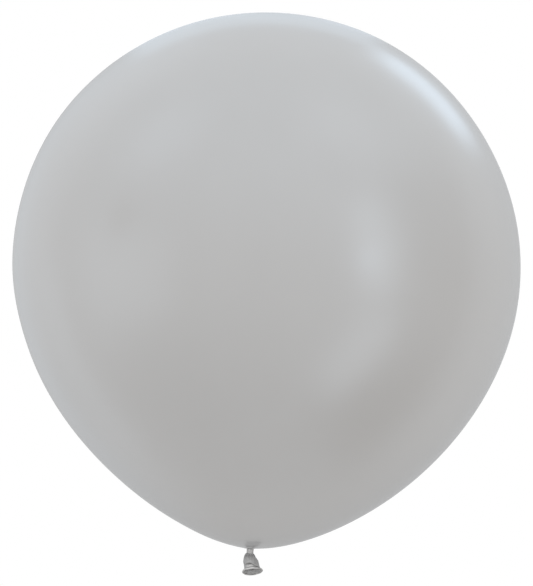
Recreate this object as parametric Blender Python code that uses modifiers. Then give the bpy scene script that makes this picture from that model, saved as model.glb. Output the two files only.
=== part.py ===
"""A giant round latex balloon, inflated and tied off, floating upright.

Lengths are in metres and +Z is up. The origin is on the axis at the tie, the pinch between the
envelope's throat and the knot, where a ribbon or a hand holds the balloon in the air.
-Y faces the viewer, and the soft tail below the knot flops that way and a little to +X.
"""

import math

import bmesh
import bpy
import numpy as np
from mathutils import Matrix, Vector
from mathutils.geometry import interpolate_bezier

NAME = "giant_latex_balloon"

# Envelope: above the belly it is half a sphere, and below it the film tapers to a round foot.
ENVELOPE_DIAMETER = 0.914
BELLY_ABOVE_FOOT = 0.5087
BELLY_HANDLE = 0.306
FOOT_HANDLE = 0.147
FILM = 0.0007
CROWN_STATIONS = 14
TAPER_STATIONS = 19
ENVELOPE_STEPS = 48

# Throat: the spout under the foot that the gathered neck fills, drawn in with a small fillet.
THROAT_RADIUS = 0.0050
THROAT_FILLET = 0.0012
THROAT_RIM_ABOVE_TIE = 0.0003
FOOT_ABOVE_TIE = THROAT_RIM_ABOVE_TIE + THROAT_FILLET
FILLET_STATIONS = 3
FLAT_AROUND_THROAT = 1.5

# Pieces that touch on the real balloon keep this gap.
GAP = 0.0003

# Neck: the film gathered into pleats, a solid plug in the throat that ends at the knot.
NECK_RADIUS = 0.0036
NECK_SHOULDER_ABOVE_TIE = 0.0018
NECK_TOP_CHAMFER = Vector((0.0011, 0.0006))
NECK_WAIST = 0.0017
NECK_ABOVE_TIE = 0.0062
NECK_BELOW_TIE = 0.0004
NECK_PLEATS = 9
NECK_PLEAT_DEPTH = 0.16
NECK_STEPS = 54

# Knot: one overhand knot in the strand that the neck is twisted into, squeezed wide and short.
# The turns fill the middle share of its height, and straight leads run to its top and bottom.
STRAND_RADIUS = 0.0019
LOOSE_KNOT_HEIGHT = 0.0145
KNOT_SQUEEZE = Vector((0.98, 0.96, 0.47))
KNOT_POINTS = 64
KNOT_TURNS_HEIGHT = 0.76
KNOT_LEAD_HEIGHT = 0.90
KNOT_HEIGHT = LOOSE_KNOT_HEIGHT * KNOT_SQUEEZE.z

# Tail: the slack bag of film below the knot. It starts as wide as the knot, widens down a long
# cone, is drawn in above its open mouth, and bends as it falls.
TAIL_LENGTH = 0.0330
TAIL_SHOULDER = 0.0060
TAIL_BODY_RADIUS = 0.0135
TAIL_BODY_BELOW_KNOT = 0.0180
TAIL_WAIST_RADIUS = 0.0130
TAIL_WAIST_ABOVE_MOUTH = 0.0057
TAIL_MOUTH_RADIUS = 0.0151
TAIL_CAP_STATIONS = 4
TAIL_BODY_STATIONS = 7
TAIL_FLARE_STATIONS = 8
TAIL_STEPS = 48
TAIL_PLEATS = 8
TAIL_PLEAT_DEPTH = 0.20
MOUTH_CENTRE = Vector((0.0064, -0.0090, -0.0388))
MOUTH_FACES = Vector((math.tan(math.radians(9.0)), -math.tan(math.radians(26.0)), -1.0)).normalized()

# Lip: the end of the film, rolled up on itself into a bead round the mouth.
LIP_DIAMETER = 0.0370
LIP_THICKNESS = 0.0030
LIP_STEPS = 12


def collection_named(name):
    """A new collection in the scene."""
    made = bpy.data.collections.new(name)
    bpy.context.scene.collection.children.link(made)
    return made


def material(name, colour, roughness, metallic):
    """A Principled material."""
    made = bpy.data.materials.new(name)
    made.use_nodes = True
    shader = made.node_tree.nodes["Principled BSDF"]
    shader.inputs["Base Color"].default_value = (*colour, 1.0)
    shader.inputs["Roughness"].default_value = roughness
    shader.inputs["Metallic"].default_value = metallic
    return made


def piece(name, mesh, finish, group):
    """An object of the balloon with its mesh, material and collection, shaded smooth."""
    made = bpy.data.objects.new(name, mesh)
    group.objects.link(made)
    mesh.materials.clear()
    mesh.materials.append(finish)
    mesh.shade_smooth()
    mesh.set_sharp_from_angle(angle=math.radians(50.0))
    return made


def applied(made):
    """The mesh of an object with its modifiers or bevel applied. The object is removed."""
    bpy.context.view_layer.update()
    evaluated = made.evaluated_get(bpy.context.evaluated_depsgraph_get())
    mesh = bpy.data.meshes.new_from_object(evaluated)
    bpy.data.objects.remove(made)
    return mesh


def turned(name, profile, steps, group):
    """An open surface turned about Z from (radius, height) points that run top to bottom."""
    mesh = bpy.data.meshes.new(name)
    points = [(radius, 0.0, height) for radius, height in profile]
    mesh.from_pydata(points, [(k, k + 1) for k in range(len(points) - 1)], [])
    made = bpy.data.objects.new(name, mesh)
    group.objects.link(made)
    screw = made.modifiers.new("turn", "SCREW")
    screw.steps = steps
    screw.render_steps = steps
    screw.use_merge_vertices = True
    screw.merge_threshold = 0.00001
    return made


def walled(made, thickness):
    """Gives a surface a wall of this thickness on its inner side."""
    wall = made.modifiers.new("wall", "SOLIDIFY")
    wall.thickness = thickness
    wall.offset = -1.0
    wall.use_even_offset = True


def envelope_profile():
    """The outer line of the envelope, from the crown down to the throat's rim."""
    radius = ENVELOPE_DIAMETER / 2
    belly = FOOT_ABOVE_TIE + BELLY_ABOVE_FOOT
    quarter = math.pi / 2
    crown = [quarter * k / CROWN_STATIONS for k in range(CROWN_STATIONS)]
    line = [(radius * math.sin(angle), belly + radius * math.cos(angle)) for angle in crown]
    taper = interpolate_bezier(
        Vector((radius, belly)),
        Vector((radius, belly - BELLY_HANDLE)),
        Vector((FOOT_HANDLE, FOOT_ABOVE_TIE)),
        Vector((0.0, FOOT_ABOVE_TIE)),
        TAPER_STATIONS + 1,
    )
    fillet_start = THROAT_RADIUS + THROAT_FILLET
    line += [tuple(point) for point in taper if point.x > FLAT_AROUND_THROAT * fillet_start]
    for k in range(FILLET_STATIONS + 1):
        angle = quarter * k / FILLET_STATIONS
        line.append((
            fillet_start - THROAT_FILLET * math.sin(angle),
            THROAT_RIM_ABOVE_TIE + THROAT_FILLET * math.cos(angle),
        ))
    return line


def build_envelope(finish, group):
    """The gas-tight skin, hollow and open only at its throat."""
    made = turned("envelope", envelope_profile(), ENVELOPE_STEPS, group)
    walled(made, FILM)
    mesh = applied(made)
    return piece("envelope", mesh, finish, group)


def fluted(mesh, count, depth_at):
    """Draws a turned mesh in between its folds, by depth_at(height) of each point's radius."""
    for vertex in mesh.vertices:
        turn = math.atan2(vertex.co.y, vertex.co.x)
        scale = 1.0 - depth_at(vertex.co.z) * (0.5 - 0.5 * math.cos(count * turn))
        vertex.co.x *= scale
        vertex.co.y *= scale


def build_neck(finish, group):
    """The pleats that plug the throat, closing to the strand's width at the tie."""
    profile = [
        (0.0, NECK_ABOVE_TIE),
        (NECK_RADIUS - NECK_TOP_CHAMFER.x, NECK_ABOVE_TIE),
        (NECK_RADIUS, NECK_ABOVE_TIE - NECK_TOP_CHAMFER.y),
        (NECK_RADIUS, NECK_SHOULDER_ABOVE_TIE),
        ((NECK_RADIUS + NECK_WAIST) / 2, NECK_SHOULDER_ABOVE_TIE / 2),
        (NECK_WAIST, 0.0),
        (NECK_WAIST, -NECK_BELOW_TIE),
        (0.0, -NECK_BELOW_TIE),
    ]
    mesh = applied(turned("neck", profile, NECK_STEPS, group))
    fluted(mesh, NECK_PLEATS, lambda height: NECK_PLEAT_DEPTH)
    return piece("neck", mesh, finish, group)


def tightened_knot():
    """Points along one overhand knot pulled tight, until the strand bears on itself.

    It starts from a loose knot given by a polynomial. Each round pulls the ends apart along Z and
    on to the axis, irons out bends, pushes touching turns apart and restores the points' spacing.
    """
    reach = 1.9
    loose = 0.63 * STRAND_RADIUS
    pull = 0.105 * STRAND_RADIUS
    centring = 0.95
    ironing = 0.15
    firmness = 0.4
    rounds = 1500
    settling = 300
    turn = np.linspace(-reach, reach, 1201)
    loop = np.column_stack((turn**3 - 3 * turn, turn**4 - 4 * turn**2, turn**5 - 10 * turn)) * loose
    along = np.concatenate(([0.0], np.cumsum(np.linalg.norm(np.diff(loop, axis=0), axis=1))))
    even = np.linspace(0.0, along[-1], KNOT_POINTS)
    path = np.column_stack([np.interp(even, along, loop[:, axis]) for axis in range(3)])
    spacing = along[-1] / (KNOT_POINTS - 1)
    clearance = 2 * STRAND_RADIUS + GAP
    apart = int(clearance * math.pi / 2 / spacing) + 1
    first, second = np.triu_indices(KNOT_POINTS, k=apart)
    ends = np.sign(path[[0, -1], 2])
    for count in range(rounds):
        path[[0, -1], 2] += ends * pull * max(0.0, 1.0 - count / (rounds - settling))
        path[[0, -1], :2] *= centring
        path[1:-1] += ironing * ((path[:-2] + path[2:]) / 2 - path[1:-1])
        between = path[second] - path[first]
        distance = np.linalg.norm(between, axis=1)
        touch = distance < clearance
        push = (firmness * (clearance / distance[touch] - 1.0))[:, None] * between[touch]
        np.add.at(path, first[touch], -push)
        np.add.at(path, second[touch], push)
        for start in (0, 1):
            head = path[start:-1:2]
            rest = path[start + 1::2][:len(head)]
            link = rest - head
            length = np.linalg.norm(link, axis=1)
            change = (0.5 * (1.0 - spacing / length))[:, None] * link
            path[start:-1:2] = head + change
            path[start + 1::2][:len(head)] = rest - change
    return path[::-1] if path[0, 2] < path[-1, 2] else path


def build_knot(finish, group):
    """The overhand knot, from the tie at its top to the tail at its bottom."""
    path = tightened_knot()
    top = np.array((0.0, 0.0, LOOSE_KNOT_HEIGHT / 2))
    lead = KNOT_LEAD_HEIGHT * top
    turns = path[np.abs(path[:, 2]) < KNOT_TURNS_HEIGHT * LOOSE_KNOT_HEIGHT / 2]
    points = np.vstack((top, lead, turns, -lead, -top))
    curve = bpy.data.curves.new("knot", "CURVE")
    curve.dimensions = "3D"
    curve.bevel_depth = STRAND_RADIUS
    curve.bevel_resolution = 3
    curve.use_fill_caps = True
    spline = curve.splines.new("POLY")
    spline.points.add(len(points) - 1)
    for point, place in zip(spline.points, points):
        point.co = (*place, 1.0)
    made = bpy.data.objects.new("knot_strand", curve)
    group.objects.link(made)
    mesh = applied(made)
    welded = bmesh.new()
    welded.from_mesh(mesh)
    bmesh.ops.remove_doubles(welded, verts=welded.verts, dist=0.00001)
    bmesh.ops.scale(welded, vec=KNOT_SQUEEZE, verts=welded.verts)
    centre = -NECK_BELOW_TIE - GAP - KNOT_HEIGHT / 2
    bmesh.ops.translate(welded, vec=(0.0, 0.0, centre), verts=welded.verts)
    bmesh.ops.recalc_face_normals(welded, faces=welded.faces)
    welded.to_mesh(mesh)
    welded.free()
    return piece("knot", mesh, finish, group)


def tail_frame(share):
    """The place and turn of the tail's cross-section at this share of its length."""
    down = Vector((0.0, 0.0, -1.0))
    top = down * (NECK_BELOW_TIE + 2 * GAP + KNOT_HEIGHT)
    below = top + down * TAIL_LENGTH / 4
    before = MOUTH_CENTRE - MOUTH_FACES * TAIL_LENGTH / 3
    left = 1.0 - share
    place = left**3 * top + 3 * left**2 * share * below
    place += 3 * left * share**2 * before + share**3 * MOUTH_CENTRE
    heading = left**2 * (below - top) + 2 * left * share * (before - below)
    heading += share**2 * (MOUTH_CENTRE - before)
    return Matrix.Translation(place) @ down.rotation_difference(heading).to_matrix().to_4x4()


def tail_profile():
    """The tail's outer line while it is still straight, from the knot down to the mouth."""
    cap = interpolate_bezier(
        Vector((0.0, 0.0)),
        Vector((0.6 * TAIL_SHOULDER, 0.0)),
        Vector((TAIL_SHOULDER, -0.1 * TAIL_SHOULDER)),
        Vector((TAIL_SHOULDER, -0.3 * TAIL_SHOULDER)),
        TAIL_CAP_STATIONS,
    )
    body = interpolate_bezier(
        cap[-1],
        Vector((1.5 * TAIL_SHOULDER, -0.35 * TAIL_BODY_BELOW_KNOT)),
        Vector((TAIL_BODY_RADIUS, -0.6 * TAIL_BODY_BELOW_KNOT)),
        Vector((TAIL_BODY_RADIUS, -TAIL_BODY_BELOW_KNOT)),
        TAIL_BODY_STATIONS,
    )
    flare = interpolate_bezier(
        body[-1],
        Vector((TAIL_BODY_RADIUS, -(TAIL_BODY_BELOW_KNOT + TAIL_LENGTH) / 2)),
        Vector((TAIL_WAIST_RADIUS, TAIL_WAIST_ABOVE_MOUTH - TAIL_LENGTH)),
        Vector((TAIL_MOUTH_RADIUS, -TAIL_LENGTH)),
        TAIL_FLARE_STATIONS,
    )
    return [tuple(point) for point in cap + body[1:] + flare[1:]]


def build_tail(finish, group):
    """The bag of slack film, pleated where it leaves the knot and smooth at its mouth."""
    mesh = applied(turned("tail", tail_profile(), TAIL_STEPS, group))
    fluted(mesh, TAIL_PLEATS, lambda height: TAIL_PLEAT_DEPTH * (1.0 + height / TAIL_LENGTH))
    for vertex in mesh.vertices:
        frame = tail_frame(-vertex.co.z / TAIL_LENGTH)
        vertex.co = frame @ Vector((vertex.co.x, vertex.co.y, 0.0))
    made = bpy.data.objects.new("tail_wall", mesh)
    group.objects.link(made)
    walled(made, FILM)
    return piece("tail", applied(made), finish, group)


def build_lip(finish, group):
    """The rolled bead, a ring round the mouth of the tail."""
    bpy.ops.mesh.primitive_torus_add(
        major_segments=TAIL_STEPS,
        minor_segments=LIP_STEPS,
        major_radius=(LIP_DIAMETER - LIP_THICKNESS) / 2,
        minor_radius=LIP_THICKNESS / 2,
    )
    ring = bpy.context.active_object
    mesh = ring.data.copy()
    bpy.data.objects.remove(ring)
    made = piece("lip", mesh, finish, group)
    made.matrix_world = tail_frame(1.0)
    return made


def build_balloon():
    """Every piece of the balloon, in one collection."""
    for old in list(bpy.data.objects):
        bpy.data.objects.remove(old)
    group = collection_named(NAME)
    skin = material("pearl_silver_latex", (0.50, 0.51, 0.52), 0.30, 0.45)
    gathered = material("gathered_silver_latex", (0.42, 0.43, 0.44), 0.38, 0.40)
    slack = material("slack_silver_latex", (0.52, 0.53, 0.53), 0.42, 0.25)
    rolled = material("rolled_silver_latex", (0.60, 0.61, 0.61), 0.34, 0.30)
    build_envelope(skin, group)
    build_neck(gathered, group)
    build_knot(gathered, group)
    build_tail(slack, group)
    build_lip(rolled, group)


build_balloon()
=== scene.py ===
"""The looks of the giant latex balloon: its stretched skin, pleats, knot, tail and lip, in a studio."""

import math

import bmesh
import bpy
from mathutils import Matrix, Vector
from mathutils.geometry import interpolate_bezier
from mathutils.noise import noise


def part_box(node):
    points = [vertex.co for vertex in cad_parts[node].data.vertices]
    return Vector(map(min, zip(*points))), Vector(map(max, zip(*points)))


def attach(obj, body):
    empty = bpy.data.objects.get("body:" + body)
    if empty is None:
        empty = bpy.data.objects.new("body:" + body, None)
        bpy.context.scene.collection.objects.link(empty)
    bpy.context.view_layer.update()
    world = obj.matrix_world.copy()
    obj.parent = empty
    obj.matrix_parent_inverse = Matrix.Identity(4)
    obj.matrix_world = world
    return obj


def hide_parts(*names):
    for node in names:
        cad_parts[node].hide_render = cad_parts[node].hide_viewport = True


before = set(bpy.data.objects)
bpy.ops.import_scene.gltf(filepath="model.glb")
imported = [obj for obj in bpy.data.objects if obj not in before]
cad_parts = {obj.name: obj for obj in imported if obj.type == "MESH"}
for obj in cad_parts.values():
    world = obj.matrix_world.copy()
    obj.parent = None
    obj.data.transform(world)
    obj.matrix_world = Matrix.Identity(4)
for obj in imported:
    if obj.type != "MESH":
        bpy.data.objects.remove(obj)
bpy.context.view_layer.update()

# The balloon's outline, in metres, as in the frame. The tie is at the origin.
SKIN_LOW, SKIN_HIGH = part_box("envelope")
RADIUS = SKIN_HIGH.x
CROWN = SKIN_HIGH.z
BELLY = CROWN - RADIUS
THROAT_RADIUS = 0.0050
THROAT_FILLET = 0.0012
FOOT = SKIN_LOW.z + THROAT_FILLET
BELLY_HANDLE = 0.306
FOOT_HANDLE = 0.147
FILM = 0.0007

# Points closer than these are one point, on a piece made here and on a copy of a frame piece.
MERGE = 0.000005
FRAME_MERGE = 0.00001

QUARTER = math.pi / 2
DOWN = Vector((0.0, 0.0, -1.0))


# Shader helpers

class Value:
    """A number that varies over a surface. Python's operators on it add Math nodes."""

    def __init__(self, shader, socket):
        self.shader = shader
        self.socket = socket

    def __add__(self, other):
        return self.shader.maths("ADD", self, other)

    def __sub__(self, other):
        return self.shader.maths("SUBTRACT", self, other)

    def __rsub__(self, other):
        return self.shader.maths("SUBTRACT", other, self)

    def __mul__(self, other):
        return self.shader.maths("MULTIPLY", self, other)

    __radd__ = __add__
    __rmul__ = __mul__


class Shader:
    """A material or the world, with its nodes made one by one."""

    def __init__(self, owner):
        self.owner = owner
        owner.use_nodes = True
        self.tree = owner.node_tree

    def node(self, kind, settings, sockets, output=0):
        """Adds a node, sets it, fills or links its sockets, and gives one of its outputs."""
        made = self.tree.nodes.new(kind)
        for name, value in settings.items():
            setattr(made, name, value)
        for key, value in sockets.items():
            if isinstance(value, Value):
                self.tree.links.new(value.socket, made.inputs[key])
            else:
                made.inputs[key].default_value = value
        return Value(self, made.outputs[output])

    def maths(self, operation, *values):
        return self.node("ShaderNodeMath", {"operation": operation}, dict(enumerate(values)))

    def colour_mix(self, share, first, second):
        """The first colour where the share is 0 and the second where it is 1."""
        # A Mix node has sockets of each kind. Its colours go in at 6 and 7 and come out at 2.
        return self.node("ShaderNodeMix", {"data_type": "RGBA"}, {0: share, 6: first, 7: second}, 2)

    def soft_step(self, value, low, high):
        """0 where the value is at low and 1 where it is at high, with a soft run between."""
        settings = {"interpolation_type": "SMOOTHSTEP"}
        limits = {"From Min": low, "From Max": high, "To Min": 0.0, "To Max": 1.0}
        return self.node("ShaderNodeMapRange", settings, {"Value": value, **limits})

    def axes(self, place):
        """The three coordinates of a place, each as a value."""
        split = self.node("ShaderNodeSeparateXYZ", {}, {"Vector": place}).socket.node
        return [Value(self, split.outputs[axis]) for axis in "XYZ"]

    def cloud(self, place, scale, detail=2.0, roughness=0.5):
        """Noise from 0 to 1 at a scale in features per metre."""
        sockets = {"Vector": place, "Scale": scale, "Detail": detail, "Roughness": roughness}
        return self.node("ShaderNodeTexNoise", {}, sockets)

    def streaks(self, place, scale, detail=2.0, roughness=0.5):
        """Noise with its own scale along each axis, so that it runs longer one way than another."""
        stretched = self.node("ShaderNodeMapping", {}, {"Vector": place, "Scale": scale})
        return self.cloud(stretched, 1.0, detail, roughness)


class Finish(Shader):
    """A material on one Principled shader, patterned on Object coordinates."""

    def __init__(self, name):
        super().__init__(bpy.data.materials.new(name))
        self.surface = self.tree.nodes["Principled BSDF"]
        self.place = self.node("ShaderNodeTexCoord", {}, {}, "Object")

    def set(self, **sockets):
        """Fills or links sockets of the Principled shader, named in small letters."""
        for name, value in sockets.items():
            key = name.replace("_", " ").title().replace("Ior", "IOR")
            if isinstance(value, Value):
                self.tree.links.new(value.socket, self.surface.inputs[key])
            else:
                self.surface.inputs[key].default_value = value

    def with_painted_shading(self, film):
        """The film's colour with painted shade where the piece's attribute is above 0, down in a fold, and
        a painted highlight where it is below 0, out on a roll.
        """
        painted_shading = self.node("ShaderNodeAttribute", {"attribute_name": "painted_shading"}, {}, "Fac")
        shaded = self.colour_mix(painted_shading * PAINTED_SHADE_STRENGTH, film, PAINTED_SHADE_GREY)
        return self.colour_mix(painted_shading * -1.0, shaded, PAINTED_HIGHLIGHT_GREY)

    def relief(self, height, depth, under=None):
        """A bump of this depth in metres, over another bump if there is one."""
        sockets = {"Height": height, "Strength": 1.0, "Distance": depth}
        if under is not None:
            sockets["Normal"] = under
        return self.node("ShaderNodeBump", {}, sockets)


def grey(level, warmth=0.0):
    """A near-neutral colour, warmer above 0 and cooler below."""
    return (level * (1.0 + warmth), level, level * (1.0 - warmth), 1.0)


# Latex

# The painted shade and the painted highlight that the pieces' attribute mixes into the film's colour.
PAINTED_SHADE_STRENGTH = 0.9
PAINTED_SHADE_GREY = grey(0.20, 0.02)
PAINTED_HIGHLIGHT_GREY = grey(0.95, 0.01)
CROWN_SPOT = 0.020
CROWN_SPOT_CORE = 0.001
THROAT_MATT_REACH = 0.040
LOWER_HALF_FADES_IN = 0.01
LOWER_HALF_STARTS = 0.03


def skin_latex():
    """Stretched pearl silver latex: thin over the belly, denser at the crown, matter round the throat."""
    latex = Finish("skin_latex")
    x, y, z = latex.axes(latex.place)
    clouds = latex.cloud(latex.place, 5.0, 3.0)
    drips = latex.streaks(latex.place, (9.0, 9.0, 1.6))
    grain = latex.cloud(latex.place, 900.0)
    lower_half = latex.soft_step(BELLY - z, LOWER_HALF_FADES_IN, LOWER_HALF_STARTS)
    away = latex.soft_step(x * x + y * y, THROAT_RADIUS**2, THROAT_MATT_REACH**2)
    throat = (1.0 - away) * lower_half
    crown = latex.soft_step(z, CROWN - CROWN_SPOT, CROWN - CROWN_SPOT_CORE) * 0.5
    thin = latex.colour_mix(clouds * 0.5 + drips * 0.5, grey(0.60, 0.004), grey(0.64, 0.0))
    thick = latex.colour_mix(crown, thin, grey(0.50, 0.01))
    latex.set(
        base_color=latex.colour_mix(throat, thick, grey(0.66, 0.005)),
        roughness=0.27 + clouds * 0.06 + crown * 0.08 + throat * 0.25,
        metallic=0.50 - crown * 0.15 - throat * 0.38,
        coat_weight=0.75 - crown * 0.4 - throat * 0.55,
        coat_roughness=0.10,
        coat_ior=1.5,
        normal=latex.relief(grain, 0.00002),
    )
    return latex.owner


def gathered_latex():
    """The same film bunched up: darker, thicker and ribbed along the pull."""
    latex = Finish("gathered_latex")
    ribs = latex.streaks(latex.place, (900.0, 900.0, 160.0))
    grain = latex.cloud(latex.place, 2500.0)
    latex.set(
        # Streaky tone, darker down between the ribs of the bump: partly the film's own uneven tone and
        # partly painted shade. The piece's attribute adds painted shade and a painted highlight.
        base_color=latex.with_painted_shading(latex.colour_mix(ribs, grey(0.52, 0.01), grey(0.78, 0.01))),
        roughness=0.30 + grain * 0.15,
        metallic=0.35,
        coat_weight=0.35,
        coat_roughness=0.2,
        normal=latex.relief(ribs, 0.0004),
    )
    return latex.owner


def slack_latex():
    """Unstretched film: matter, with fine creases that run down from the knot."""
    latex = Finish("slack_latex")
    creases = latex.streaks(latex.place, (420.0, 420.0, 90.0), 3.0, 0.6)
    grain = latex.cloud(latex.place, 1800.0)
    latex.set(
        # Streaky tone, darker down in the creases of the bump: partly the film's own uneven tone and partly
        # painted shade. The piece's attribute adds painted shade and a painted highlight.
        base_color=latex.with_painted_shading(latex.colour_mix(creases, grey(0.46, 0.005), grey(0.66, 0.005))),
        roughness=0.32 + grain * 0.16,
        metallic=0.35,
        coat_weight=0.30,
        coat_roughness=0.2,
        normal=latex.relief(creases, 0.0006, latex.relief(grain, 0.00005)),
    )
    return latex.owner


def rolled_latex():
    """The bead of film rolled on itself, with the edges of its turns showing faintly."""
    latex = Finish("rolled_latex")
    turns = latex.streaks(latex.place, (120.0, 120.0, 900.0))
    latex.set(
        # Streaky tone, darker down between the turns of the bump: partly the film's own uneven tone and
        # partly painted shade. The piece's attribute adds painted shade and a painted highlight.
        base_color=latex.with_painted_shading(latex.colour_mix(turns, grey(0.56, 0.012), grey(0.74, 0.012))),
        roughness=0.28 + turns * 0.12,
        metallic=0.35,
        coat_weight=0.4,
        coat_roughness=0.15,
        normal=latex.relief(turns, 0.0003),
    )
    return latex.owner


# Mesh helpers

def turned_round(bm, geometry, steps):
    """Spins geometry of a bmesh all the way about Z and closes its seam and poles."""
    bmesh.ops.spin(
        bm,
        geom=geometry,
        cent=(0, 0, 0),
        axis=(0, 0, 1),
        angle=math.tau,
        steps=steps,
        use_merge=True,
    )
    bmesh.ops.remove_doubles(bm, verts=bm.verts, dist=MERGE)
    bmesh.ops.recalc_face_normals(bm, faces=bm.faces)


def spun(profile, steps):
    """A bmesh turned about Z from (radius, height) points that run top to bottom."""
    bm = bmesh.new()
    line = [bm.verts.new((radius, 0.0, height)) for radius, height in profile]
    edges = [bm.edges.new(pair) for pair in zip(line, line[1:])]
    turned_round(bm, line + edges, steps)
    return bm


def finished(bm, name, finish, body="root"):
    """Makes a smooth piece of the balloon from a bmesh. The balloon is all one body."""
    mesh = bpy.data.meshes.new(name)
    bm.to_mesh(mesh)
    bm.free()
    mesh.materials.append(finish)
    mesh.shade_smooth()
    piece = bpy.data.objects.new(name, mesh)
    bpy.context.scene.collection.objects.link(piece)
    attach(piece, body)
    return piece


def ease(value):
    """0 below 0, 1 above 1, and a smooth run between."""
    share = min(1.0, max(0.0, value))
    return share * share * (3.0 - 2.0 * share)


def bump(value, middle, spread):
    """1 where the value is at the middle, falling smoothly to 0 within about twice the spread."""
    return math.exp(-(((value - middle) / spread) ** 2))


# The skin. It leans left up high and right down low, and its lower half is flatter on the left.

SKIN_STEPS = 192
CROWN_STATIONS = 52
TAPER_STATIONS = 110
THROAT_STATIONS = 14
SWAY_LEFT, SWAY_LEFT_AT, SWAY_LEFT_SPREAD = 0.0026, 0.78, 0.14
SWAY_RIGHT, SWAY_RIGHT_AT, SWAY_RIGHT_SPREAD = 0.0046, 0.07, 0.15
SWAY_CLEAR_RADIUS = 0.006
SWAY_RUN = 0.03
FLATTER_CROWN = 0.0009
FLATTER_CROWN_RADIUS = 0.20
FLATTER_LEFT = 0.0036
FLATTER_LEFT_RUN_LOW = 0.04
FLATTER_LEFT_ENDS_AT = 0.34
FLATTER_LEFT_RUN_HIGH = 0.16
PUCKERS = 17
FINE_PUCKERS = 37
PUCKER_DEPTH = 0.0007
PUCKER_REACH = 0.016
PUCKER_RUN = 0.006
PUCKERS_DEEPER_LEFT = 0.6
PINCH_RADIUS = 0.0031
PINCH = -0.0006
PINCH_PLEAT = 0.10
PINCH_PLEAT_RUN = 0.004


def skin_profile():
    """The outer line of the skin, from the crown down to the pinch over the knot."""
    angles = [QUARTER * k / CROWN_STATIONS for k in range(CROWN_STATIONS)]
    line = [(RADIUS * math.sin(angle), BELLY + RADIUS * math.cos(angle)) for angle in angles]
    taper = interpolate_bezier(
        Vector((RADIUS, BELLY)),
        Vector((RADIUS, BELLY - BELLY_HANDLE)),
        Vector((FOOT_HANDLE, FOOT)),
        Vector((0.0, FOOT)),
        TAPER_STATIONS,
    )
    throat = interpolate_bezier(
        Vector((2.2 * THROAT_RADIUS, FOOT)),
        Vector((1.2 * THROAT_RADIUS, FOOT)),
        Vector((1.1 * PINCH_RADIUS, 0.7 * FOOT)),
        Vector((PINCH_RADIUS, PINCH)),
        THROAT_STATIONS,
    )
    line += [tuple(point) for point in taper if point.x > 2.4 * THROAT_RADIUS]
    return line + [tuple(point) for point in throat]


def pucker_throat(place, radius, turn):
    """Moves a point near the throat into the small pleats that the tie draws up."""
    wave = 0.6 * math.cos(PUCKERS * turn) + 0.4 * math.sin(FINE_PUCKERS * turn + 1.3)
    reach = math.exp(-max(0.0, radius - THROAT_RADIUS) / PUCKER_REACH)
    reach *= 1.0 - PUCKERS_DEEPER_LEFT * math.cos(turn)
    place.z += PUCKER_DEPTH * reach * wave * ease((radius - PINCH_RADIUS) / PUCKER_RUN)
    drawn_in = 1.0 - ease((radius - PINCH_RADIUS) / PINCH_PLEAT_RUN)
    pleat = 1.0 - PINCH_PLEAT * drawn_in * (1.0 + wave) / 2
    place.x *= pleat
    place.y *= pleat


def build_skin(finish):
    """The skin, a little out of true as a hand-filled balloon is, and puckered round the throat."""
    bm = spun(skin_profile(), SKIN_STEPS)
    for vertex in bm.verts:
        place = vertex.co
        radius = math.hypot(place.x, place.y)
        turn = math.atan2(place.y, place.x)
        if place.z < BELLY / 2:
            pucker_throat(place, radius, turn)
        sway = SWAY_RIGHT * bump(place.z, SWAY_RIGHT_AT, SWAY_RIGHT_SPREAD)
        sway -= SWAY_LEFT * bump(place.z, SWAY_LEFT_AT, SWAY_LEFT_SPREAD)
        place.x += sway * ease((radius - SWAY_CLEAR_RADIUS) / SWAY_RUN)
        if place.z > BELLY:
            place.z -= FLATTER_CROWN * (1.0 - ease(radius / FLATTER_CROWN_RADIUS))
        above_end = ease((place.z - FLATTER_LEFT_ENDS_AT) / FLATTER_LEFT_RUN_HIGH)
        lower = ease(place.z / FLATTER_LEFT_RUN_LOW) * (1.0 - above_end)
        place.x += FLATTER_LEFT * max(0.0, -math.cos(turn)) * lower
    bmesh.ops.solidify(bm, geom=bm.faces, thickness=FILM / 2)
    piece = finished(bm, "skin", finish)
    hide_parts("envelope")


# The gathered neck and the knot

KNOT_LOW, KNOT_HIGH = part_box("knot")
NECK_INTO_KNOT = 0.0012
NECK_TOP = 0.0040
NECK_BOTTOM = KNOT_HIGH.z - NECK_INTO_KNOT
NECK_RADIUS = 0.0024
NECK_ENDS_SWELL = 0.25
NECK_STATIONS = 24
NECK_STEPS = 90
NECK_PLEATS = 9
NECK_PLEAT_DEPTH = 0.09
NECK_FOLDS = 5
NECK_FOLD_DEPTH = 0.05
NECK_TWIST = 260.0
KNOT_PLUMP = 0.0007
KNOT_WIDTH = 0.0122
KNOT_RISE = 0.0010
KNOT_CORE_RADIUS = 0.0063
KNOT_CORE_FOOT = 0.96
KNOT_CORE_STEPS = 48
KNOT_VOXEL = 0.00030
KNOT_SMOOTHING = 8
KNOT_GROOVE = 0.0012
KNOT_SIDE_SHADE = 0.95
KNOT_GROOVE_SHADE = 0.5
KNOT_MIDDLE_LIGHT = 0.5
KNOT_RIDGES = Vector((700.0, 700.0, 1100.0))
KNOT_RIDGE_HEIGHT = 0.00018


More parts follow.
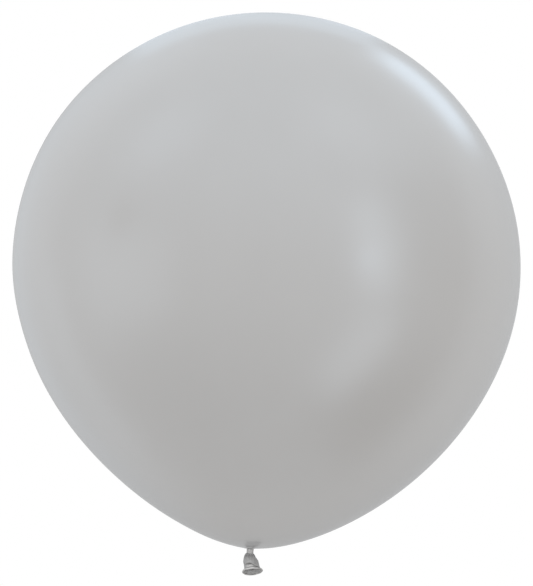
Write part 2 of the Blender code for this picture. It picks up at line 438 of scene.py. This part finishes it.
def build_neck(finish):
    """The twisted strand that comes out of the pinch and goes into the knot."""
    profile = [(0.0, NECK_TOP)]
    for k in range(NECK_STATIONS + 1):
        share = k / NECK_STATIONS
        swell = 1.0 + NECK_ENDS_SWELL * abs(2.0 * share - 1.0)
        profile.append((NECK_RADIUS * swell, NECK_TOP + (NECK_BOTTOM - NECK_TOP) * share))
    profile.append((0.0, NECK_BOTTOM))
    bm = spun(profile, NECK_STEPS)
    for vertex in bm.verts:
        place = vertex.co
        turn = math.atan2(place.y, place.x) + place.z * NECK_TWIST
        narrower = NECK_PLEAT_DEPTH * (1.0 + math.cos(NECK_PLEATS * turn))
        narrower += NECK_FOLD_DEPTH * (1.0 + math.sin(NECK_FOLDS * turn))
        place.x *= 1.0 - narrower
        place.y *= 1.0 - narrower
    piece = finished(bm, "neck_gather", finish)
    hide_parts("neck")


def plump_knot():
    """A bmesh of the frame's knot with a fuller strand, slimmed again, round a core of film."""
    bm = bmesh.new()
    bm.from_mesh(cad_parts["knot"].data)
    bmesh.ops.remove_doubles(bm, verts=bm.verts, dist=FRAME_MERGE)
    bm.normal_update()
    for vertex in bm.verts:
        vertex.co += vertex.normal * KNOT_PLUMP
    slim = KNOT_WIDTH / (KNOT_HIGH.x - KNOT_LOW.x + 2 * KNOT_PLUMP)
    height = KNOT_HIGH.z - KNOT_LOW.z
    from_foot = Matrix.Translation((0.0, 0.0, -KNOT_LOW.z))
    bmesh.ops.scale(bm, vec=(slim, slim, (height + KNOT_RISE) / height), space=from_foot, verts=bm.verts)
    core = bmesh.ops.create_cone(
        bm,
        cap_ends=True,
        segments=KNOT_CORE_STEPS,
        radius1=KNOT_CORE_FOOT * KNOT_CORE_RADIUS,
        radius2=KNOT_CORE_RADIUS,
        depth=height + KNOT_RISE,
    )["verts"]
    bmesh.ops.translate(bm, vec=(0.0, 0.0, (KNOT_HIGH.z + KNOT_RISE + KNOT_LOW.z) / 2), verts=core)
    return bm


def build_knot(finish):
    """The overhand knot, its turns pressed together round a core of film, as soft rubber sits."""
    piece = finished(plump_knot(), "tied_knot", finish)
    fused = piece.modifiers.new("fused", "REMESH")
    fused.mode = "VOXEL"
    fused.voxel_size = KNOT_VOXEL
    eased = piece.modifiers.new("eased", "SMOOTH")
    eased.factor = 0.5
    eased.iterations = KNOT_SMOOTHING
    bpy.context.view_layer.update()
    mesh = bpy.data.meshes.new_from_object(piece.evaluated_get(bpy.context.evaluated_depsgraph_get()))
    piece.modifiers.clear()
    piece.data = mesh
    mesh.shade_smooth()
    # Painted shade on the knot's left and right sides and in the groove round its core, less a painted
    # highlight on its front and back middle.
    painted_shading = mesh.attributes.new("painted_shading", "FLOAT", "POINT")
    for vertex in mesh.vertices:
        place = vertex.co
        radius = math.hypot(place.x, place.y)
        side = abs(place.x) / radius
        groove = ease((KNOT_CORE_RADIUS - radius) / KNOT_GROOVE)
        shade = KNOT_SIDE_SHADE * side**3 + KNOT_GROOVE_SHADE * groove
        painted_shading.data[vertex.index].value = shade - KNOT_MIDDLE_LIGHT * (1.0 - side) ** 2
        place += vertex.normal * noise(place * KNOT_RIDGES) * KNOT_RIDGE_HEIGHT
    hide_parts("knot")


# The tail and its lip

TAIL_INTO_KNOT = 0.0006
TAIL_TOP = Vector((0.0, 0.0, KNOT_LOW.z + TAIL_INTO_KNOT))
TAIL_LENGTH = 0.0330
TAIL_SHOULDER = 0.0060
TAIL_BODY_RADIUS = 0.0135
TAIL_BODY_BELOW_KNOT = 0.0180
TAIL_WAIST_RADIUS = 0.0130
TAIL_WAIST_ABOVE_MOUTH = 0.0057
TAIL_MOUTH_RADIUS = 0.0159
TAIL_CAP_STATIONS = 12
TAIL_BODY_STATIONS = 40
TAIL_FLARE_STATIONS = 44
TAIL_STEPS = 168
TAIL_FILM = 0.0005
MOUTH_CENTRE = Vector((0.0064, -0.0090, -0.0388))
MOUTH_TO_RIGHT = math.radians(9.0)
MOUTH_TO_FRONT = math.radians(26.0)
MOUTH_FACES = Vector((math.tan(MOUTH_TO_RIGHT), -math.tan(MOUTH_TO_FRONT), -1.0)).normalized()
LIP_DIAMETER = 0.0370
LIP_THICKNESS = 0.0030
LIP_STEPS = 200
LIP_WAVE = 0.00035
LIP_FINE_WAVE = 0.00020
LIP_SHADE = 0.3
LIP_SIDE_SHADE = 0.3
LIP_FRONT_LIGHT = 1.35
BEAD_STEPS = 28
BEAD_SWELL = 0.07
BEAD_FINE_SWELL = 0.04
BEAD_SEAM_AT = 2.2
BEAD_SEAM_SPREAD = 0.16
BEAD_SEAM_DEPTH = 0.10

# How many times the tail's pleats, folds and wrinkles repeat round it.
TAIL_PLEATS = 11
TAIL_FOLDS = 4
TAIL_WRINKLES = 7

# Where they lie, as shares of the tail's length from the knot down to the mouth.
PLEATS_AT, PLEATS_SPREAD = 0.16, 0.16
CREASE_STARTS_AT, CREASE_DROPS_BY, CREASE_SPREAD = 0.64, 0.27, 0.026
LOWER_CREASE_AT, LOWER_CREASE_SPREAD = 0.92, 0.020
ROLL_AT, ROLL_SPREAD = 0.80, 0.055
LEFT_SHOULDER_AT, LEFT_SHOULDER_SPREAD = 0.08, 0.08
LEFT_SIDE_AT, LEFT_SIDE_SPREAD = 0.55, 0.15
RIGHT_SIDE_AT, RIGHT_SIDE_SPREAD = 0.32, 0.24
INSIDE_PAINTED_SHADE_TO, INSIDE_PAINTED_SHADE_RUN = 0.80, 0.12

# How far they stand in or out, in metres.
PLEAT_DEPTH = 0.0009
CREASE_DEPTH = 0.0013
LOWER_CREASE_DEPTH = 0.0010
ROLL_HEIGHT = 0.0018
FOLD_HEIGHT = 0.0005
WRINKLE_HEIGHT = 0.0003
ROUGH_HEIGHT = 0.0005
FULLER_LEFT_SHOULDER = 0.0008
SLIMMER_LEFT_SIDE = 0.0009
SLIMMER_RIGHT_SIDE = 0.0027


def tail_frame(share):
    """The place and turn of the tail's cross-section at this share of its length."""
    below = TAIL_TOP + DOWN * TAIL_LENGTH / 4
    before = MOUTH_CENTRE - MOUTH_FACES * TAIL_LENGTH / 3
    left = 1.0 - share
    place = left**3 * TAIL_TOP + 3 * left**2 * share * below
    place += 3 * left * share**2 * before + share**3 * MOUTH_CENTRE
    heading = left**2 * (below - TAIL_TOP) + 2 * left * share * (before - below)
    heading += share**2 * (MOUTH_CENTRE - before)
    return Matrix.Translation(place) @ DOWN.rotation_difference(heading).to_matrix().to_4x4()


def tail_profile():
    """The tail's outer line while it is still straight, from the knot down to the mouth."""
    cap = interpolate_bezier(
        Vector((0.0, 0.0)),
        Vector((0.6 * TAIL_SHOULDER, 0.0)),
        Vector((TAIL_SHOULDER, -0.1 * TAIL_SHOULDER)),
        Vector((TAIL_SHOULDER, -0.3 * TAIL_SHOULDER)),
        TAIL_CAP_STATIONS,
    )
    body = interpolate_bezier(
        cap[-1],
        Vector((1.5 * TAIL_SHOULDER, -0.35 * TAIL_BODY_BELOW_KNOT)),
        Vector((TAIL_BODY_RADIUS, -0.6 * TAIL_BODY_BELOW_KNOT)),
        Vector((TAIL_BODY_RADIUS, -TAIL_BODY_BELOW_KNOT)),
        TAIL_BODY_STATIONS,
    )
    flare = interpolate_bezier(
        body[-1],
        Vector((TAIL_BODY_RADIUS, -(TAIL_BODY_BELOW_KNOT + TAIL_LENGTH) / 2)),
        Vector((TAIL_WAIST_RADIUS, TAIL_WAIST_ABOVE_MOUTH - TAIL_LENGTH)),
        Vector((TAIL_MOUTH_RADIUS, -TAIL_LENGTH)),
        TAIL_FLARE_STATIONS,
    )
    return [tuple(point) for point in cap + body[1:] + flare[1:]]


def tail_folds(turn, share):
    """How far the slack film stands in or out, in metres, and how much painted shade it gets.

    Pleats fan out from the knot. Lower down the front sags over itself: a crease slants down to
    the right, a second one runs just above the lip, and a full roll of film lies between them.
    The painted shade is up to 1 down in a fold and on the sides, and below 0 it is a painted highlight out
    on the roll.
    """
    to_right = math.cos(turn)
    on_right = max(0.0, to_right)
    on_left = max(0.0, -to_right)
    front = max(0.0, -math.sin(turn))
    pleats = math.cos(TAIL_PLEATS * turn + 0.6 * math.sin(3 * turn))
    pleats *= bump(share, PLEATS_AT, PLEATS_SPREAD)
    folds = math.cos(TAIL_FOLDS * turn + 0.8) * math.sin(math.pi * min(1.0, share * 1.1)) ** 2
    wrinkles = math.cos(TAIL_WRINKLES * turn - 5.0 * share + 1.0) * math.sin(math.pi * share) ** 2
    crease_at = CREASE_STARTS_AT + CREASE_DROPS_BY * ease((to_right + 0.40) / 1.2)
    crease = bump(share, crease_at, CREASE_SPREAD) * front**0.5 * ease((to_right + 0.95) / 0.3)
    lower_crease = bump(share, LOWER_CREASE_AT, LOWER_CREASE_SPREAD) * front**0.5
    roll = bump(share, ROLL_AT, ROLL_SPREAD) * bump(to_right, -0.25, 0.40) * front
    shaded_sides = abs(to_right) ** 5 * ease(share / 0.15)
    rough = noise(Vector((math.cos(turn) * 2.2, math.sin(turn) * 2.2, share * 5.0)))
    rough *= ease(share * 4.0) * ease((1.0 - share) * 8.0)
    stand = FOLD_HEIGHT * folds + WRINKLE_HEIGHT * wrinkles + ROUGH_HEIGHT * rough + ROLL_HEIGHT * roll
    stand += FULLER_LEFT_SHOULDER * on_left * bump(share, LEFT_SHOULDER_AT, LEFT_SHOULDER_SPREAD)
    stand -= SLIMMER_LEFT_SIDE * on_left * bump(share, LEFT_SIDE_AT, LEFT_SIDE_SPREAD)
    stand -= SLIMMER_RIGHT_SIDE * on_right * bump(share, RIGHT_SIDE_AT, RIGHT_SIDE_SPREAD)
    stand -= PLEAT_DEPTH * pleats + CREASE_DEPTH * crease + LOWER_CREASE_DEPTH * lower_crease
    # Painted shade in the creases and pleats and on the left and right sides, less a painted highlight on
    # the roll.
    depth = crease + 0.7 * lower_crease + 0.4 * max(0.0, pleats) + 0.8 * shaded_sides - 1.5 * roll
    return stand, min(1.0, depth)


def build_tail(finish):
    """The slack bag of film below the knot: pleated at the top, folded, and tucked over the lip."""
    bm = spun(tail_profile(), TAIL_STEPS)
    painted_shading = bm.verts.layers.float.new("painted_shading")
    down = bm.verts.layers.float.new("down")
    for vertex in bm.verts:
        place = vertex.co
        share = min(1.0, -place.z / TAIL_LENGTH)
        vertex[down] = share
        radius = math.hypot(place.x, place.y)
        turn = math.atan2(place.y, place.x)
        stand, vertex[painted_shading] = tail_folds(turn, share)
        grown = radius + stand * ease(radius / TAIL_SHOULDER)
        flat = Vector((grown * math.cos(turn), grown * math.sin(turn), 0.0))
        vertex.co = tail_frame(share) @ flat
    inside = bm.verts[:]
    bmesh.ops.solidify(bm, geom=bm.faces, thickness=TAIL_FILM)
    # Painted shade on the inner side of the film, darker further up inside, away from the mouth.
    for vertex in inside:
        vertex[painted_shading] = ease((INSIDE_PAINTED_SHADE_TO - vertex[down]) / INSIDE_PAINTED_SHADE_RUN)
    piece = finished(bm, "tail_bag", finish)
    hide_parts("tail")


def build_lip(finish):
    """The rolled bead round the mouth, wavy and uneven as a hand-rolled edge is."""
    ring = (LIP_DIAMETER - LIP_THICKNESS) / 2
    bm = bmesh.new()
    bmesh.ops.create_circle(bm, segments=BEAD_STEPS, radius=LIP_THICKNESS / 2)
    bmesh.ops.rotate(bm, cent=(0, 0, 0), matrix=Matrix.Rotation(QUARTER, 3, "X"), verts=bm.verts)
    bmesh.ops.translate(bm, vec=(ring, 0.0, 0.0), verts=bm.verts)
    turned_round(bm, bm.verts[:] + bm.edges[:], LIP_STEPS)
    place_of = tail_frame(1.0)
    painted_shading = bm.verts.layers.float.new("painted_shading")
    for vertex in bm.verts:
        place = vertex.co
        turn = math.atan2(place.y, place.x)
        to_right = math.cos(turn)
        front = max(0.0, -math.sin(turn))
        # Painted shade round the bead, more on its left and right sides, less a painted highlight on its
        # front, left of middle.
        lit = LIP_FRONT_LIGHT * front * bump(to_right, -0.3, 0.65)
        vertex[painted_shading] = LIP_SHADE + LIP_SIDE_SHADE * to_right**4 - lit
        out = Vector((to_right, math.sin(turn), 0.0))
        offset = place - out * ring
        around = math.atan2(offset.z, offset.dot(out))
        seam = bump(around - 0.25 * math.sin(2 * turn), BEAD_SEAM_AT, BEAD_SEAM_SPREAD)
        swell = 1.0 + BEAD_SWELL * math.sin(3 * turn + 0.4) + BEAD_FINE_SWELL * math.sin(11 * turn)
        swell -= BEAD_SEAM_DEPTH * seam
        wave = LIP_WAVE * math.sin(2 * turn + 0.9) + LIP_FINE_WAVE * math.sin(7 * turn)
        vertex.co = place_of @ (out * (ring + wave) + offset * swell + Vector((0.0, 0.0, wave)))
    piece = finished(bm, "rolled_lip", finish)
    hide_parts("lip")


# The studio

IMAGE_WIDTH, IMAGE_HEIGHT = 533, 586
CAMERA_AWAY = 6.0
CAMERA_SEES_TO = 100.0
BALLOON_ACROSS_PX = 508.5
BELLY_ABOVE_MIDDLE_PX = 26.6
CAMERA_ROLL = math.radians(3.3)
SENSOR = 36.0
FLOOR = -1.2
FLOOR_RADIUS = 6.0
FLOOR_SIDES = 96
FLOOR_FADES_FROM = 0.3 * FLOOR_RADIUS
FLOOR_FADES_TO = 0.98 * FLOOR_RADIUS
WHITE = (1.0, 1.0, 1.0, 1.0)


def build_camera():
    """A level camera in front, rolled a little, that frames the balloon as in the photograph."""
    camera = bpy.data.objects.new("camera", bpy.data.cameras.new("camera"))
    bpy.context.scene.collection.objects.link(camera)
    seen_radius = RADIUS / math.sqrt(CAMERA_AWAY**2 - RADIUS**2)
    pixels_per_slope = BALLOON_ACROSS_PX / 2 / seen_radius
    camera.data.sensor_width = SENSOR
    camera.data.lens = pixels_per_slope * SENSOR / max(IMAGE_WIDTH, IMAGE_HEIGHT)
    down = BELLY_ABOVE_MIDDLE_PX / pixels_per_slope * CAMERA_AWAY
    up = Vector((-math.sin(CAMERA_ROLL), 0.0, math.cos(CAMERA_ROLL)))
    aim = Vector((0.0, 0.0, BELLY)) - down * up
    camera.matrix_world = (
        Matrix.Translation(aim + Vector((0.0, -CAMERA_AWAY, 0.0)))
        @ Matrix.Rotation(QUARTER, 4, "X")
        @ Matrix.Rotation(CAMERA_ROLL, 4, "Z")
    )
    camera.data.clip_end = CAMERA_SEES_TO
    bpy.context.scene.camera = camera


class Studio(Shader):
    """The light round the balloon: a soft even tone, with brighter and darker panels in it.

    A panel lies to the right or the left. "up" is how far it is turned up from the horizon on
    that side, and "off" is how far it stands off from straight behind, both in degrees. "edge"
    is how soft its edges are, in degrees too, and "blue" is how much bluer than grey it is.
    """

    def __init__(self, world):
        super().__init__(world)
        x, y, z = self.axes(self.node("ShaderNodeTexCoord", {}, {}, "Generated"))
        degrees = 180.0 / math.pi
        self.to_left = x * -1.0
        self.height = z
        self.depth = z * -1.0
        self.off = self.maths("ARCCOSINE", y) * degrees
        self.up = {
            "right": self.maths("ARCTAN2", z, x) * degrees,
            "left": self.maths("ARCTAN2", z, self.to_left) * degrees,
        }
        self.level = 0.0
        self.blue = 0.0

    def add(self, mask, brightness, blue):
        """Adds light where the mask is above 0. A brightness below 0 takes light away."""
        self.level = self.level + mask * brightness
        self.blue = self.blue + mask * blue

    def window(self, value, low, high, edge):
        """1 where the value is between low and high, and 0 outside, with soft edges."""
        rise = self.soft_step(value, low - edge, low + edge)
        return rise * (1.0 - self.soft_step(value, high - edge, high + edge))

    def panel(self, side, up, off, edge, brightness, blue):
        """Adds the light of a soft-edged panel."""
        mask = self.window(self.up[side], *up, edge) * self.window(self.off, *off, edge)
        self.add(mask, brightness, blue)

    def colour(self):
        """The light of every panel together, as a colour."""
        parts = {"Red": self.level - self.blue, "Green": self.level, "Blue": self.level + self.blue}
        return self.node("ShaderNodeCombineColor", {}, parts)


def light_room(air):
    """The even tone of the room: lighter above, and darker below and behind, less so behind on the left."""
    above = air.soft_step(air.height, -0.2, 1.0)
    below = air.soft_step(air.depth, 0.15, 0.95)
    behind = 1.0 - air.soft_step(air.off, 15.0, 65.0)
    behind_low = (1.0 - air.soft_step(air.off, 35.0, 75.0)) * air.soft_step(air.depth, 0.0, 0.5)
    behind_left = (1.0 - air.soft_step(air.off, 30.0, 90.0)) * air.soft_step(air.to_left, 0.1, 0.5)
    air.add(1.0, brightness=0.74, blue=-0.008)
    air.add(above, brightness=0.12, blue=0.025)
    air.add(below, brightness=-0.115, blue=-0.008)
    air.add(behind, brightness=-0.17, blue=0.013)
    air.add(behind_low, brightness=-0.05, blue=0.0)
    air.add(behind_left, brightness=0.10, blue=0.018)


def hang_right_panels(air):
    """The panels on the right, from the one furthest back round to the front."""
    # A box overhead lights the top rim, and a bright window makes the highlight on the shoulder.
    air.panel("right", up=(68, 124), off=(-20, 41), edge=4, brightness=0.21, blue=0.05)
    air.panel("right", up=(36, 65), off=(36, 53), edge=6, brightness=0.70, blue=0.16)
    # A dark flag at the side, with a little light above it.
    air.panel("right", up=(-65, 36), off=(76, 113), edge=10, brightness=-0.105, blue=-0.013)
    air.panel("right", up=(48, 76), off=(92, 114), edge=10, brightness=0.10, blue=0.012)
    # Two tall streaks in front, one over the other, with a small catch light on the upper one.
    air.panel("right", up=(-62, -20), off=(112, 130), edge=9, brightness=0.24, blue=0.026)
    air.panel("right", up=(-12, 38), off=(122, 137), edge=7, brightness=0.26, blue=0.034)
    air.panel("right", up=(1, 13), off=(130, 138), edge=4, brightness=0.48, blue=0.09)


def hang_left_panels(air):
    """The panels on the left, which are fainter, from the one furthest back round to the front."""
    # A low panel lights the lower rim.
    air.panel("left", up=(-56, -4), off=(60, 74), edge=6, brightness=0.08, blue=0.013)
    # A broad low panel and a high one, with a small dark slot between them.
    air.panel("left", up=(-28, 10), off=(88, 135), edge=10, brightness=0.11, blue=0.013)
    air.panel("left", up=(34, 62), off=(92, 114), edge=10, brightness=0.12, blue=0.02)
    air.panel("left", up=(9, 20), off=(105, 113), edge=5, brightness=-0.27, blue=-0.035)


def build_world():
    """A white backdrop, and the soft studio that the skin reflects."""
    world = bpy.data.worlds.new("studio")
    bpy.context.scene.world = world
    air = Studio(world)
    light_room(air)
    hang_right_panels(air)
    hang_left_panels(air)
    surroundings = air.node("ShaderNodeBackground", {}, {"Color": air.colour(), "Strength": 1.0})
    backdrop = air.node("ShaderNodeBackground", {}, {"Color": WHITE, "Strength": 1.0})
    seen = air.node("ShaderNodeLightPath", {}, {}, "Is Camera Ray")
    both = air.node("ShaderNodeMixShader", {}, {0: seen, 1: surroundings, 2: backdrop})
    air.tree.links.new(both.socket, air.tree.nodes["World Output"].inputs["Surface"])


def build_floor():
    """A pale round floor well below the balloon, fading into the white backdrop at its rim."""
    bm = bmesh.new()
    bmesh.ops.create_circle(bm, cap_ends=True, radius=FLOOR_RADIUS, segments=FLOOR_SIDES)
    bmesh.ops.translate(bm, vec=(0.0, 0.0, FLOOR), verts=bm.verts)
    mesh = bpy.data.meshes.new("floor")
    bm.to_mesh(mesh)
    bm.free()
    floor = bpy.data.objects.new("floor", mesh)
    bpy.context.scene.collection.objects.link(floor)
    pale = Finish("pale_floor")
    x, y, _ = pale.axes(pale.place)
    rim = pale.soft_step(x * x + y * y, FLOOR_FADES_FROM**2, FLOOR_FADES_TO**2)
    pale.set(base_color=grey(0.80, 0.005), roughness=0.9, specular_ior_level=0.0, alpha=1.0 - rim)
    mesh.materials.append(pale.owner)
    floor.visible_glossy = False


build_camera()
build_world()
build_floor()
build_skin(skin_latex())
gathered = gathered_latex()
build_neck(gathered)
build_knot(gathered)
build_tail(slack_latex())
build_lip(rolled_latex())
bpy.context.scene.view_settings.view_transform = "Standard"
